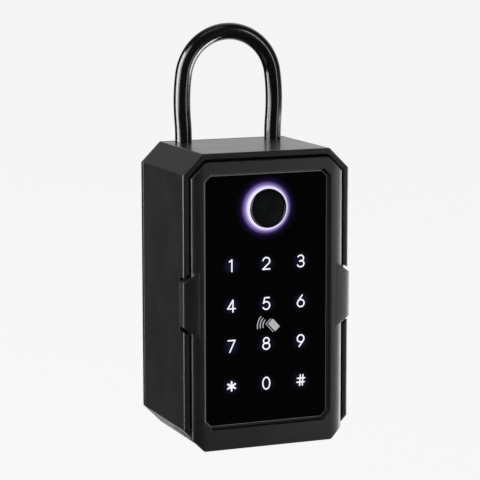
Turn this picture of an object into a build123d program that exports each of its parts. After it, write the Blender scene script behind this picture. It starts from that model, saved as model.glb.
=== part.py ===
from build123d import *
from math import acos, atan2, cos, hypot, pi, radians, sin, sqrt, tan
import os

os.makedirs("parts", exist_ok=True)

# An electronic key box: an eight-sided cast casing with a bent-bar shackle, and a door that folds down on a
# hinge at the bottom. Everything is drawn in millimetres with X to the right, Y = 0 at the casing's front rim
# and growing towards the wall, and Z = 0 at the casing's underside. Export moves the origin to the middle of
# the depth and down to the foot of the door's moulding.

# Casing
body_width = 72.0
body_height = 120.0
body_depth = 50.0  # front rim to the wall side of the back plate
corner_cut = 8.3  # the eight-sided outline's cut corners, each leg
wall = 2.4
edge_round = 0.9
rim_round = 0.8
rear_bevel = 0.5
seam_bevel = 0.35
back_plate_thick = 2.8
flange_width = 6.4
flange_thick = 2.6

# Clearances shared by many pieces
fit_gap = 0.2
thread_gap = 0.04
screw_gap = 0.1
glue_gap = 0.05
over = 1.0  # how far a cutting shape runs past what it cuts
drive_share = 0.55  # radius of a screw's socket, as a share of its shank
drive_depth = 0.6

# Door
rim_gap = 0.8  # door edge to the casing's side walls
top_gap = 1.0
door_crown = 1.7  # how far the door's border stands ahead of the rim
crown_width = 4.8  # the border falls back at its sides by a quarter ellipse
crown_drop = 1.5
moulding_drip = 0.8  # how far the border hangs below the casing
moulding_back = 1.4
moulding_round = 0.4
skirt_back = 7.5
skirt_wall = 2.6
border_side = 5.1
border_top = 4.5
border_bottom = 7.7
window_cut = 3.3
window_slope = 0.9  # how far the window narrows from the border's front to the glass
glass_face = 0.8
glass_thick = 1.8
glass_bevel = 0.35
glass_lap = 1.7  # glass hidden behind the window's edge
rail_height = 6.4
rail_back = 10.0
lip_thick = 2.6
cavity_corner = 1.0

# Finger grips on the door's sides, in notches of the casing
grip_proud = 0.3
grip_length = 18.0
grip_rise = -0.3  # middle of the grips above the casing's middle
grip_slope = 2.4
grip_back = 3.5
grip_root = 3.0
notch_gap = 1.1
notch_ease = 0.15

# Hinge
hinge_depth = 15.7
barrel_radius = 4.8
pin_radius = 1.5
pin_inset = 3.3  # end of the pin to the door's side
pin_running_gap = 0.05
pin_bevel = 0.25
lug_side = 16.0  # middle of a lug to the casing's outer side
lug_width = 7.0
lug_reach = 12.3  # hinge axis to the rear of the lug's root
knuckle_gap = 0.3
knuckle_ease = 0.5
stop_gap = 0.3

# Shackle
bar_radius = 3.5
leg_side = 16.0  # middle of a leg to the casing's outer side
loop_bulge = 0.6
loop_height = 45.8  # casing top to the crown's centre line
crown_height = 27.2  # widest point of the loop to the crown's centre line
crown_ease = 3.6  # half width of the loop less the crown's radius
leg_straight = 2.0
leg_running_gap = 0.06
leg_bevel = 0.8
tip_height = 1.4
neck_play = 0.5
neck_radius = 2.3
socket_wall = 4.5  # socket block ahead of the bar
socket_height = 13.4

# Keyhole plate that holds the shackle, and its cover
latch_travel = 5.0
latch_thick = 2.0
latch_gap = 0.3
latch_back_gap = 0.15
keyhole_gap = 0.35
latch_margin = 3.0
latch_web = 1.2
latch_corner = 1.0
tab_width = 16.0
tab_reach = 4.0
tab_drop = 7.0
tab_thick = 2.0
tab_round = 2.0
cover_thick = 1.2
cover_rail = 2.2
guide_radius = 2.1
small_screw = 1.25
small_head = 2.2
small_head_height = 1.5
small_screw_bite = 4.5

# Wall fixing
wall_hole_radius = 2.5
wall_hole_spacing_x = 40.0
wall_hole_spacing_z = 60.0
plate_screw_radius = 1.5
plate_screw_head = 2.9
plate_screw_side = 6.2  # screw axis to the casing's outer side
plate_screw_end = 14.5
plate_screw_length = 8.0

# Strike plate under the casing's top wall
strike_thick = 1.5
strike_length = 30.0
strike_web = 1.5
strike_drop = 2.6
strike_corner = 1.2
strike_screw_spacing = 22.0
strike_screw_end_gap = 0.4
strike_head_height = 0.9
strike_boss_radius = 3.0

# Finger reader
reader_drop = 15.1  # window's upper edge to the reader's middle
reader_radius = 6.8
reader_rim = 1.0
reader_front = 1.6  # ahead of the casing's rim
reader_sink = 0.35
bezel_bevel = 0.4
bezel_ease = 0.5
ring_hot_width = 1.3
ring_hot_front = 0.6
ring_width = 2.45
ring_edge_front = 0.3
ring_foot = 1.0
ring_foot_thick = 0.95

# Keypad behind the glass
key_pitch_x = 15.2
key_first_drop = 22.7  # reader's middle to the first row
key_last_rise = 17.1  # window's lower edge to the last row
key_rows = 4
mask_thick = 1.35
mask_window_width = 8.4
mask_window_height = 9.0
mask_margin = 3.2
board_thick = 1.0
board_side_gap = 0.6
board_corner = 2.0
led_width = 1.6
led_thick = 0.7
led_height = 0.8

# Inner housing
flange_seat = 0.3  # door's skirt to the housing's flange
flange_plate = 2.0
flange_lap = 1.0
flange_corner = 2.0
housing_back = 20.0
housing_wall = 1.6
housing_flange_gap = 0.5
housing_side_gap = 0.7
housing_front_gap = 0.4
housing_drop = 4.5  # flange's upper edge to the tray's
housing_corner = 2.5
housing_bevel = 0.8
hinge_clear = 2.8
bay_wall = 2.4
roof_wall = 2.0
boss_radius = 2.6
boss_inset = 2.8
boss_rise = 3.0
boss_drop = 8.0
boss_rib = 2.4
housing_screw_radius = 1.2
housing_screw_head = 2.1
housing_screw_floor = 0.6
post_radius = 2.2
post_inset = 2.8

# Cells and their bay
cell_radius = 5.25
cell_length = 44.5
cell_nub_radius = 1.9
cell_nub = 0.8
cell_bevel = 0.4
cell_gap = 0.6
contact_thick = 0.4
contact_width = 8.0
leaf_width = 3.0
leaf_half = 3.0
leaf_strip = 0.8
spring_reach = 3.0
spring_gap = 0.1
bay_clear = 0.5
cover_plate = 1.4
cover_lap = 1.1
cover_rim = 1.0
cover_gap = 0.3
cover_corner = 1.2
groove_count = 4
groove_length = 14.0
groove_width = 0.9
groove_depth = 0.5
groove_pitch = 1.8
groove_drop = 6.0

# Lock work
bolt_width = 10.0
bolt_thick = 5.6
bolt_nose = 8.0
bolt_bevel = 0.7
bolt_rest_gap = 0.5
bolt_side_gap = 0.25
rack_back = 2.6  # bolt's rear face to the rack's pitch line
rack_width = 3.2
rack_length = 16.0
rack_end_gap = 0.2
rack_motor_gap = 1.0
gear_module = 0.5
pinion_teeth = 12
flank_steps = 3
pressure_angle = 20.0
pinion_addendum = 0.45
pinion_dedendum = 0.5
pinion_hub = 0.5
rack_addendum = 0.35
rack_dedendum = 0.55
tooth_play = 0.12
tooth_foot = 0.3
shaft_radius = 0.75
shaft_gap = 0.02
shaft_end = 0.6
gearbox_length = 9.0
motor_length = 14.6
motor_width = 12.0
motor_thick = 10.0
motor_end_radius = 2.0
motor_end_length = 0.6
motor_end_gap = 2.2
motor_roof_gap = 1.0
clamp_gap = 0.1
clamp_thick = 1.1
clamp_width = 6.0
clamp_foot = 4.0

# Boards and small parts
board_stack = 2.05  # keypad board to the main board
main_board_side_gap = 2.0
main_board_low_gap = 0.8
main_board_high_gap = 1.2
board_screw = 0.95
board_screw_head = 1.9
board_screw_head_height = 1.1
board_screw_length = 5.0
board_screw_end_gap = 0.2
buzzer_radius = 4.5
buzzer_height = 3.0
buzzer_hole = 0.8
buzzer_side = 9.6  # buzzer's middle to the board's edge
port_width = 9.0
port_thick = 3.2
port_depth = 7.3
port_middle = 6.0
port_sink = 0.6
port_wall = 0.35
port_end = 1.5
port_tongue_thick = 0.7
port_tongue_side = 1.6
port_tongue_low = 0.8

# Seal
seal_width = 1.5
seal_thick = 1.3
seal_inset = 0.4
seal_clear = 4.4  # top of the hinge barrel to the ends of the seal
seal_gap = 0.3
ledge_width = 2.6
ledge_thick = 1.6

# Places worked out from the sizes above
cut_share = 2 - sqrt(2)  # how much a 45 degree corner's leg shrinks per unit of inset
half_width = body_width / 2
shell_back = body_depth - back_plate_thick
inner_half = half_width - wall
inner_top = body_height - wall
door_half = inner_half - rim_gap
door_top = inner_top - top_gap
door_bottom_cut = corner_cut - wall - rim_gap
door_top_cut = door_half + door_top - (half_width + body_height - corner_cut) + (wall + rim_gap) * sqrt(2)
window_half = door_half - border_side
window_top = door_top - border_top
glass_seat = glass_face + glass_bevel
glass_back = glass_face + glass_thick
hinge_height = barrel_radius
barrel_top = hinge_height + barrel_radius
lip_end = hinge_depth + barrel_radius
floor_front = lip_end + stop_gap
lug_middle = half_width - lug_side
lug_root = hinge_depth + lug_reach
pin_half_length = door_half - pin_inset
grip_middle = body_height / 2 + grip_rise
grip_low = grip_middle - grip_length / 2
grip_high = grip_middle + grip_length / 2
mask_front = glass_back + fit_gap
board_front = mask_front + mask_thick
board_back = board_front + board_thick
cavity_half = door_half - skirt_wall
cavity_top = door_top - skirt_wall
boss_side = cavity_half - boss_inset
board_half_width = boss_side - boss_radius - board_side_gap
mask_low = border_bottom + mask_margin
mask_high = window_top - mask_margin
reader_height = window_top - reader_drop
key_top = reader_height - key_first_drop
key_bottom = border_bottom + key_last_rise
seal_back = skirt_back + seal_thick
seal_low = barrel_top + seal_clear
ledge_front = seal_back + seal_gap
flange_half = cavity_half - housing_flange_gap
flange_top = cavity_top - housing_flange_gap
flange_front = skirt_back + flange_seat
flange_back = flange_front + flange_plate
housing_screw_length = flange_back - board_front - housing_screw_floor - fit_gap
housing_low = barrel_top + hinge_clear
housing_high = flange_top - housing_drop
housing_half_width = boss_side - housing_screw_head - housing_side_gap
housing_front = board_back + housing_front_gap
half_pitch_legs = half_width - leg_side
leg_depth = shell_back - latch_back_gap - latch_web - keyhole_gap - bar_radius
socket_front = leg_depth - bar_radius - socket_wall
socket_low = inner_top - socket_height
latch_low = socket_low - latch_gap - latch_thick
leg_tip = latch_low - neck_play - tip_height
neck_height = latch_thick + neck_play + latch_gap
tray_top = latch_low - fit_gap
tray_low = leg_tip - bolt_rest_gap - cover_thick
electronics_back = housing_back - housing_wall
electronics_high = housing_high - roof_wall
electronics_half = housing_half_width - housing_wall
bay_half = housing_half_width - cover_lap - cover_rim
cell_pitch = 2 * cell_radius + cell_gap
cell_count = int((2 * (bay_half - bay_clear) + cell_gap) / cell_pitch)
bay_low = housing_low + housing_wall
bay_high = bay_low + 2 * contact_thick + spring_reach + cell_length + bay_clear
cell_depth = housing_back - cover_plate - fit_gap - cell_radius
bay_front = cell_depth - cell_radius - bay_clear
electronics_low = bay_high + bay_wall
bolt_back = electronics_back - fit_gap
bolt_front = bolt_back - bolt_thick
motor_room = gearbox_length + motor_length + motor_end_length + motor_end_gap
bolt_middle = electronics_half - motor_room - rack_motor_gap - rack_width / 2
pinion_radius = gear_module * pinion_teeth / 2
rack_pitch_depth = bolt_back - rack_back
pinion_depth = rack_pitch_depth - pinion_radius
clamp_half = motor_width / 2 + clamp_gap + clamp_thick
pinion_height = electronics_high - motor_roof_gap - clamp_half
strike_low = inner_top - strike_drop - strike_thick
bolt_top = strike_low - bolt_rest_gap
nose_low = bolt_top - bolt_nose
main_board_half = electronics_half - main_board_side_gap
main_board_low = electronics_low + main_board_low_gap
main_board_high = pinion_height - clamp_half - main_board_high_gap
main_board_front = board_back + board_stack
ring_radius = reader_radius + reader_rim + ring_width
shift = -(body_depth - door_crown) / 2
lift = moulding_drip


def cut_outline(half, low, high, top_cut, bottom_cut):
    """Eight corners in X and Z of a rectangle with its corners cut at 45 degrees."""
    return [
        (half, low + bottom_cut),
        (half, high - top_cut),
        (half - top_cut, high),
        (top_cut - half, high),
        (-half, high - top_cut),
        (-half, low + bottom_cut),
        (bottom_cut - half, low),
        (half - bottom_cut, low),
    ]


def outline_face(outline, depth):
    """A flat face with this X-Z outline at one depth."""
    plane = Plane(origin=(0, depth, 0), x_dir=(1, 0, 0), z_dir=(0, -1, 0))
    return plane * make_face(Polyline(*outline, close=True))


def slab(outline, front, back):
    """A straight block with this X-Z outline between two depths."""
    return extrude(outline_face(outline, back), back - front)


def block(x, y, z):
    """A box from pairs of lowest and highest X, Y and Z."""
    middle = [(low + high) / 2 for low, high in (x, y, z)]
    return Pos(*middle) * Box(*(high - low for low, high in (x, y, z)))


def rod(radius, start, end):
    """A round bar between two points."""
    along = Vector(*end) - Vector(*start)
    return extrude(Plane(origin=start, z_dir=along) * Circle(radius), along.length)


def upright(radius, x, depth, span):
    """A round bar along Z, between a lowest and a highest height."""
    return rod(radius, (x, depth, span[0]), (x, depth, span[1]))


def side_profile(points, low_x, high_x):
    """A block whose outline in Y and Z is constant along X."""
    plane = Plane(origin=(low_x, 0, 0), x_dir=(0, 1, 0), z_dir=(1, 0, 0))
    return extrude(plane * make_face(Polyline(*points, close=True)), high_x - low_x)


def turned(profile, x, z):
    """A body turned about a line along Y, from points of radius and depth."""
    face = make_face(Polyline(*profile, close=True))
    return Pos(x, 0, z) * revolve(face, Axis.Y)


def screw(head, shank, length, head_height, point, toward, slot=True):
    """A pan-head screw: the point is under its head, and the shank runs towards the given direction."""
    way = Vector(*toward)
    seat = Vector(*point)
    top = seat - way * head_height
    solid = rod(shank, seat, seat + way * length) + rod(head, top, seat)
    if slot:
        solid -= rod(shank * drive_share, top, top + way * head_height * drive_depth)
    return solid


def cone(head, shank, top, way):
    """A 45 degree countersink, from its wide end to the shank."""
    wide = Plane(origin=top, z_dir=way) * Circle(head)
    return loft([wide, Plane(origin=top + way * (head - shank), z_dir=way) * Circle(shank)])


def sunk_screw(head, shank, length, point, toward):
    """A countersunk screw: the point is the middle of its flush head."""
    way = Vector(*toward)
    top = Vector(*point)
    screw_body = cone(head, shank, top, way) + rod(shank, top, top + way * length)
    return screw_body - rod(shank * drive_share, top, top + way * (head - shank))


def sunk_hole(head, shank, length, point, toward):
    """The hole that a countersunk screw sits in."""
    way = Vector(*toward)
    top = Vector(*point)
    return cone(head, shank, top, way) + rod(shank, top - way * over, top + way * length)


def together(solids):
    """Separate solids kept as one piece."""
    return Compound(children=list(solids))


def casing_outline(inset):
    """The casing's outline moved inwards by an inset."""
    cut = corner_cut - inset * cut_share
    return cut_outline(half_width - inset, inset, body_height - inset, cut, cut)


def door_outline(inset=0.0):
    """The door's outline, or one moved inwards at its sides and top, with its foot where the casing's is."""
    top_cut = door_top_cut - inset * cut_share
    return cut_outline(door_half - inset, 0, door_top - inset, top_cut, door_bottom_cut)


def crowned(half, low, high, back):
    """A block across the door whose front falls back towards both sides by a quarter ellipse."""
    start, edge = door_half - crown_width, crown_drop - door_crown
    right = EllipticalCenterArc((start, edge), half - start, crown_drop, 270, arc_size=90)
    left = EllipticalCenterArc((-start, edge), half - start, crown_drop, 180, arc_size=90)
    lines = Polyline((half, edge), (half, back), (-half, back), (-half, edge))
    face = make_face([Line((-start, -door_crown), (start, -door_crown)), right, *lines.edges(), left])
    return extrude(Pos(0, 0, low) * face, high - low)


def window_outline(grow=0.0):
    """The glass window's outline at the border's front, or larger."""
    cut = window_cut + grow * cut_share
    return cut_outline(window_half + grow, border_bottom - grow, window_top + grow, cut, cut)


# Casing and what is fixed to it


def grip_outline(gap=0.0, ease=0.0):
    """Outline in X and Z of the right-hand finger grip, or of its notch when a gap is given."""
    reach = half_width + grip_proud
    inner = door_half - grip_root
    slope = grip_slope / (reach - door_half)
    spread = slope * (reach - inner)
    return [
        (reach + gap, grip_low - gap - ease),
        (reach + gap, grip_high + gap),
        (inner, grip_high + gap + spread),
        (inner, grip_low - gap - ease - spread),
    ]


def mirrored(solid):
    """A solid with its mirror image across the middle."""
    return solid + mirror(solid, Plane.YZ)


def hinge_lug(x):
    """A lug that carries the pin, rising from the casing's floor behind the door's lip."""
    tip = (lug_root - hinge_depth, wall - hinge_height)
    reach = hypot(*tip)
    touch = atan2(tip[1], tip[0]) + acos(barrel_radius / reach)
    crest = (hinge_depth + barrel_radius * cos(touch), hinge_height + barrel_radius * sin(touch))
    foot = [(hinge_depth, 0), (lug_root, 0), (lug_root, wall), crest, (hinge_depth, hinge_height)]
    low_x, high_x = x - lug_width / 2, x + lug_width / 2
    barrel = rod(barrel_radius, (low_x, hinge_depth, hinge_height), (high_x, hinge_depth, hinge_height))
    return barrel + side_profile(foot, low_x, high_x)


def swing_drop():
    """How far the grip's lower corner sinks while the opening door carries it out of its notch."""
    radius = hypot(hinge_depth - grip_back, grip_low - hinge_height)
    return grip_low - hinge_height - sqrt(radius**2 - hinge_depth**2)


def make_body_shell():
    outer = slab(casing_outline(0), 0, shell_back)
    outer = fillet(outer.edges().filter_by(Axis.Y), edge_round)
    outer = fillet(outer.faces().sort_by(Axis.Y)[0].edges(), rim_round)
    outer = chamfer(outer.faces().sort_by(Axis.Y)[-1].edges(), seam_bevel)
    flange_depth = shell_back - flange_thick
    inside = slab(casing_outline(wall), -over, flange_depth)
    shell = outer - inside - slab(casing_outline(wall + flange_width), flange_depth - over, shell_back + over)

    # Step that the door's seal closes against, on the sides and the top
    ledge = slab(casing_outline(wall / 2), ledge_front, ledge_front + ledge_thick)
    ledge -= slab(casing_outline(wall + ledge_width), ledge_front - over, ledge_front + ledge_thick + over)
    ledge -= block((-half_width, half_width), (0, lip_end), (-over, seal_low))
    shell += ledge

    # Open floor in front for the door's lip, with the side walls left standing
    shell -= block((-inner_half, inner_half), (-over, floor_front), (-over, seal_low))
    for x in (-lug_middle, lug_middle):
        shell += hinge_lug(x)
    left, right = [(x, hinge_depth, hinge_height) for x in (-half_width, half_width)]
    shell -= rod(pin_radius + thread_gap, left, right)

    # Shackle socket across the top of the back
    socket = slab(casing_outline(wall / 2), socket_front, shell_back)
    shell += socket & block((-half_width, half_width), (socket_front, shell_back), (socket_low, body_height))
    room = (tray_low - fit_gap, socket_low)
    shell -= block((-inner_half, inner_half), (socket_front, shell_back + over), room)
    for x in (-half_pitch_legs, half_pitch_legs):
        shell -= upright(bar_radius + leg_running_gap, x, leg_depth, (tray_low, body_height + over))
    tapped = small_screw + thread_gap
    for x in guide_places():
        shell -= upright(tapped, x, leg_depth, (tray_low, socket_low + small_screw_bite + fit_gap))

    # Bosses for the strike plate
    for x in strike_screw_places():
        span = (strike_low + strike_thick, inner_top + wall / 2)
        shell += upright(strike_boss_radius, x, strike_middle(), span)
        shell -= upright(tapped, x, strike_middle(), (strike_low, inner_top))

    # Notches for the door's finger grips
    notch_low = max(swing_drop() - notch_gap, 0) + notch_ease
    notch = slab(grip_outline(notch_gap, notch_low), -over, grip_back + notch_gap)
    notch &= block((door_half, body_width), (-over, body_depth), (0, body_height))
    shell -= mirrored(notch)

    # Tapped holes for the back plate's screws
    for x, z in plate_screw_places():
        start = shell_back - plate_screw_length
        shell -= rod(plate_screw_radius + thread_gap, (x, start, z), (x, shell_back + over, z))
    return shell


def plate_screw_places():
    x = half_width - plate_screw_side
    return [(side * x, z) for side in (-1, 1) for z in (plate_screw_end, body_height - plate_screw_end)]


def wall_hole_places():
    x, z = wall_hole_spacing_x / 2, wall_hole_spacing_z / 2
    return [(across * x, body_height / 2 + up * z) for across in (-1, 1) for up in (-1, 1)]


def make_back_plate():
    plate = slab(casing_outline(0), shell_back, body_depth)
    plate = fillet(plate.edges().filter_by(Axis.Y), edge_round)
    plate = chamfer(plate.faces().sort_by(Axis.Y)[0].edges(), seam_bevel)
    plate = chamfer(plate.faces().sort_by(Axis.Y)[-1].edges(), rear_bevel)
    for x, z in wall_hole_places():
        plate -= rod(wall_hole_radius, (x, 0, z), (x, body_depth + over, z))
    for x, z in plate_screw_places():
        plate -= sunk_hole(plate_screw_head + thread_gap, plate_screw_radius + 2 * thread_gap,
                           back_plate_thick + over, (x, body_depth, z), (0, -1, 0))
    return plate


def make_back_plate_screws():
    length = back_plate_thick + plate_screw_length - over
    return together(
        sunk_screw(plate_screw_head, plate_screw_radius, length, (x, body_depth, z), (0, -1, 0))
        for x, z in plate_screw_places()
    )


def make_hinge_pin():
    start = (-pin_half_length, hinge_depth, hinge_height)
    end = (pin_half_length, hinge_depth, hinge_height)
    return chamfer(rod(pin_radius, start, end).edges(), pin_bevel)


def strike_middle():
    return (bolt_front + bolt_back) / 2


def strike_screw_places():
    return [bolt_middle - strike_screw_spacing / 2, bolt_middle + strike_screw_spacing / 2]


def bolt_slot(low, high):
    """The opening that the bolt's nose slides through."""
    half = bolt_width / 2 + bolt_side_gap
    depth = (bolt_front - bolt_side_gap, bolt_back + bolt_side_gap)
    return block((bolt_middle - half, bolt_middle + half), depth, (low, high))


def make_strike_plate():
    half = strike_length / 2
    depth = (bolt_front - bolt_side_gap - strike_web, bolt_back + bolt_side_gap + strike_web)
    plate = block((bolt_middle - half, bolt_middle + half), depth, (strike_low, strike_low + strike_thick))
    plate = fillet(plate.edges().filter_by(Axis.Z), strike_corner)
    plate -= bolt_slot(nose_low, inner_top)
    for x in strike_screw_places():
        plate -= upright(small_screw + screw_gap, x, strike_middle(), (nose_low, inner_top))
    return plate


def make_strike_screws():
    length = strike_thick + strike_drop - strike_screw_end_gap
    depth = strike_middle()
    return together(
        screw(small_head, small_screw, length, strike_head_height, (x, depth, strike_low), (0, 0, 1), False)
        for x in strike_screw_places()
    )


# Shackle and the keyhole plate that holds it


def make_shackle():
    top = body_height + loop_height
    widest = top - crown_height
    half = half_pitch_legs + loop_bulge
    crown_radius = half - crown_ease
    start = body_height + leg_straight

    # The leg bends out and back by two equal arcs, until it runs upright again at the loop's widest point
    rise = widest - start
    bend = (rise**2 + loop_bulge**2) / (4 * loop_bulge)
    middle = (half_pitch_legs + loop_bulge / 2, start + rise / 2)

    # A side arc and a crown arc, tangent to each other, stand for a near half ellipse
    side_radius = (half**2 + crown_height**2 - 2 * crown_height * crown_radius) / (2 * crown_ease)
    side_centre = (half - side_radius, widest)
    crown_centre = (0, top - crown_radius)
    turn = atan2(crown_centre[1] - side_centre[1], crown_centre[0] - side_centre[0])
    meet = (side_centre[0] + side_radius * cos(turn), side_centre[1] + side_radius * sin(turn))
    half_turn = (side_centre[0] + side_radius * cos(turn / 2), side_centre[1] + side_radius * sin(turn / 2))

    # Middle points of the two bending arcs, each a quarter of the way along the bend
    sweep_angle = 2 * atan2(loop_bulge, rise)
    quarter = (half_pitch_legs + bend * (1 - cos(sweep_angle / 2)), start + bend * sin(sweep_angle / 2))
    three = (half - (quarter[0] - half_pitch_legs), widest - (quarter[1] - start))

    def at(point, side=1):
        return (side * point[0], leg_depth, point[1])

    right = [(half_pitch_legs, start), quarter, middle, three, (half, widest), half_turn, meet]
    left = [at(point, -1) for point in right]
    right = [at(point) for point in right]
    foot = (half_pitch_legs, leg_depth, leg_tip)
    other = (-half_pitch_legs, leg_depth, leg_tip)
    path = Wire([
        Line(foot, right[0]),
        ThreePointArc(right[0], right[1], right[2]),
        ThreePointArc(right[2], right[3], right[4]),
        ThreePointArc(right[4], right[5], right[6]),
        ThreePointArc(right[6], (0, leg_depth, top), left[6]),
        ThreePointArc(left[6], left[5], left[4]),
        ThreePointArc(left[4], left[3], left[2]),
        ThreePointArc(left[2], left[1], left[0]),
        Line(left[0], other),
    ])
    bar = sweep(Plane(origin=foot, z_dir=(0, 0, 1)) * Circle(bar_radius), path=path)
    for x in (-half_pitch_legs, half_pitch_legs):
        low = leg_tip + tip_height
        ring = rod(bar_radius + over, (x, leg_depth, low), (x, leg_depth, low + neck_height))
        bar -= ring - rod(neck_radius, (x, leg_depth, low), (x, leg_depth, low + neck_height))
    return chamfer(bar.edges().group_by(Axis.Z)[0], leg_bevel)


def keyhole(x):
    """A round hole that lets a leg's tip through, with a narrow slot that holds its neck."""
    depth = (leg_depth - neck_radius - keyhole_gap, leg_depth + neck_radius + keyhole_gap)
    span = (tray_top, socket_low)
    hole = upright(bar_radius + keyhole_gap, x, leg_depth, span)
    hole += upright(neck_radius + keyhole_gap, x - latch_travel, leg_depth, span)
    return hole + block((x - latch_travel, x), depth, span)


def guide_places():
    """Middles of the two guide posts, whose slots lie evenly between the keyholes."""
    low = bar_radius + keyhole_gap - half_pitch_legs
    high = half_pitch_legs - latch_travel - neck_radius - keyhole_gap
    reach = guide_radius + keyhole_gap
    web = (high - low - 2 * (latch_travel + 2 * reach)) / 3
    first = low + web + latch_travel + reach
    return [first, first + latch_travel + 2 * reach + web]


def make_shackle_latch():
    left = -half_pitch_legs - latch_travel - neck_radius - latch_margin
    right = half_pitch_legs + bar_radius + latch_margin
    front = leg_depth - bar_radius - latch_margin
    back = leg_depth + bar_radius + keyhole_gap + latch_web
    high = latch_low + latch_thick
    plate = block((left, right), (front, back), (latch_low, high))
    plate = fillet(plate.edges().filter_by(Axis.Z), latch_corner)
    tab_front = socket_front - tab_reach
    half = tab_width / 2
    plate += block((-half, half), (tab_front, front + latch_corner), (latch_low, high))
    tab = block((-half, half), (tab_front, tab_front + tab_thick), (high - tab_drop, high))
    plate += fillet(tab.edges().filter_by(Axis.Y).group_by(Axis.Z)[0], tab_round)
    for x in (-half_pitch_legs, half_pitch_legs):
        plate -= keyhole(x)
    reach = guide_radius + keyhole_gap
    for x in guide_places():
        span = (tray_top, socket_low)
        plate -= block((x - latch_travel, x), (leg_depth - reach, leg_depth + reach), span)
        for end in (x - latch_travel, x):
            plate -= upright(reach, end, leg_depth, span)
    return plate


def make_latch_cover():
    half = inner_half - fit_gap
    front = socket_front + fit_gap
    cover = block((-half, half), (front, shell_back - fit_gap), (tray_low, tray_low + cover_thick))
    rail_front = leg_depth - bar_radius - latch_margin + fit_gap
    cover += block((-half, half), (rail_front, rail_front + cover_rail), (tray_low, tray_top))
    for x in guide_places():
        cover += upright(guide_radius, x, leg_depth, (tray_low, socket_low))
        cover -= upright(small_screw + screw_gap, x, leg_depth, (tray_low - over, socket_low + over))
    return cover


def make_latch_cover_screws():
    length = socket_low - tray_low + small_screw_bite
    return together(
        screw(small_head, small_screw, length, small_head_height, (x, leg_depth, tray_low), (0, 0, 1), False)
        for x in guide_places()
    )


# Door


def window_cutter():
    """The window through the border, narrowing evenly from ahead of the border to the glass's seat."""
    slope = window_slope / (door_crown + glass_seat)
    front = outline_face(window_outline(slope * over), -door_crown - over)
    back = outline_face(window_outline(-window_slope), glass_seat)
    return loft([front, back], ruled=True)


def make_grip():
    """The right-hand finger grip: the border drawn out over the casing's side wall."""
    bar = crowned(half_width + grip_proud, 0, body_height, grip_back)
    return bar & slab(grip_outline(), -door_crown - over, grip_back)


def boss_places():
    heights = (housing_low + boss_rise, body_height / 2, flange_top - boss_drop)
    return [(side * boss_side, z) for side in (-1, 1) for z in heights]


def make_door_frame():
    # Moulding round the glass, whose crowned sides run into the cut corners
    foot = cut_outline(door_half, -moulding_drip, door_top, door_top_cut, door_bottom_cut)
    frame = crowned(door_half, -body_height, 2 * body_height, moulding_back)
    frame &= slab(foot, -door_crown - over, moulding_back)
    level = frame.edges().filter_by(Axis.X).group_by(Axis.Y)[0]
    frame = fillet(level, moulding_round)
    frame += slab(door_outline(), 0, skirt_back)

    # Rail and lip that wrap under the casing to the hinge
    span = (-door_half, door_half)
    tail = block(span, (0, rail_back), (0, rail_height)) + block(span, (0, hinge_depth), (0, lip_thick))
    left, right = [(x, hinge_depth, hinge_height) for x in span]
    tail += rod(barrel_radius, left, right)
    slant = barrel_radius / sqrt(2)
    start = rail_back - over
    gusset = [(start, lip_thick - over), (hinge_depth, lip_thick - over), (hinge_depth, hinge_height),
              (hinge_depth - slant, hinge_height + slant), (start, rail_height - over)]
    tail += side_profile(gusset, *span)
    tail &= slab(door_outline(), 0, lip_end + over)
    frame += tail
    frame += mirrored(make_grip())

    frame -= window_cutter()
    frame -= slab(window_outline(glass_lap - window_slope), glass_seat, board_front)
    cut = door_top_cut - skirt_wall * cut_share
    cavity = cut_outline(cavity_half, rail_height, cavity_top, cut, cavity_corner)
    frame -= slab(cavity, mask_front, skirt_back + over)
    rear = (skirt_back - over, rail_back + over)
    frame -= block((-cavity_half, cavity_half), rear, (rail_height, housing_low))

    # Bosses for the housing's screws, joined to the side walls by ribs
    for x, z in boss_places():
        side = 1 if x > 0 else -1
        rib = sorted((x, x + side * (boss_inset + over)))
        frame += rod(boss_radius, (x, board_front, z), (x, flange_front, z))
        frame += block(rib, (board_front, skirt_back), (z - boss_rib / 2, z + boss_rib / 2))
        bore = housing_screw_radius + thread_gap
        frame -= rod(bore, (x, board_front + housing_screw_floor, z), (x, flange_back, z))

    # Gaps in the lip for the casing's lugs, and the pin's bore, open on the right where the pin goes in
    for x in (-lug_middle, lug_middle):
        half = lug_width / 2 + knuckle_gap
        depth = (hinge_depth - barrel_radius - knuckle_ease, lip_end + over)
        frame -= block((x - half, x + half), depth, (-over, barrel_top + over))
    frame -= rod(pin_radius + pin_running_gap, (-pin_half_length - fit_gap, hinge_depth, hinge_height),
                 (half_width, hinge_depth, hinge_height))

    # Socket of the emergency power port, in the lip's underside
    frame -= port_shape(glue_gap, -over, housing_low)
    return frame


def port_shape(grow, low, high):
    """The flat oval of the power port, from one height to another."""
    width, thick = port_width + 2 * grow, port_thick + 2 * grow
    oval = Pos(0, port_middle, low) * SlotOverall(width, thick)
    return extrude(oval, high - low)


def make_touch_glass():
    glass = slab(window_outline(glass_lap - window_slope - fit_gap), glass_seat, glass_back)
    edge = outline_face(window_outline(-window_slope), glass_seat)
    face = outline_face(window_outline(-window_slope - glass_bevel), glass_face)
    glass += loft([edge, face], ruled=True)
    return glass - rod(ring_radius + fit_gap / 2, (0, 0, reader_height), (0, mask_front, reader_height))


def make_sensor_light_ring():
    inner = reader_radius + reader_rim + glue_gap
    outer = ring_radius
    hot = inner + ring_hot_width
    profile = [
        (inner, fit_gap - reader_front), (hot, glass_face - ring_hot_front),
        (outer, glass_face - ring_edge_front), (outer, glass_back),
        (outer + ring_foot, glass_back + glue_gap), (outer + ring_foot, glass_back + ring_foot_thick),
        (inner, glass_back + ring_foot_thick),
    ]
    return turned(profile, 0, reader_height)


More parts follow.
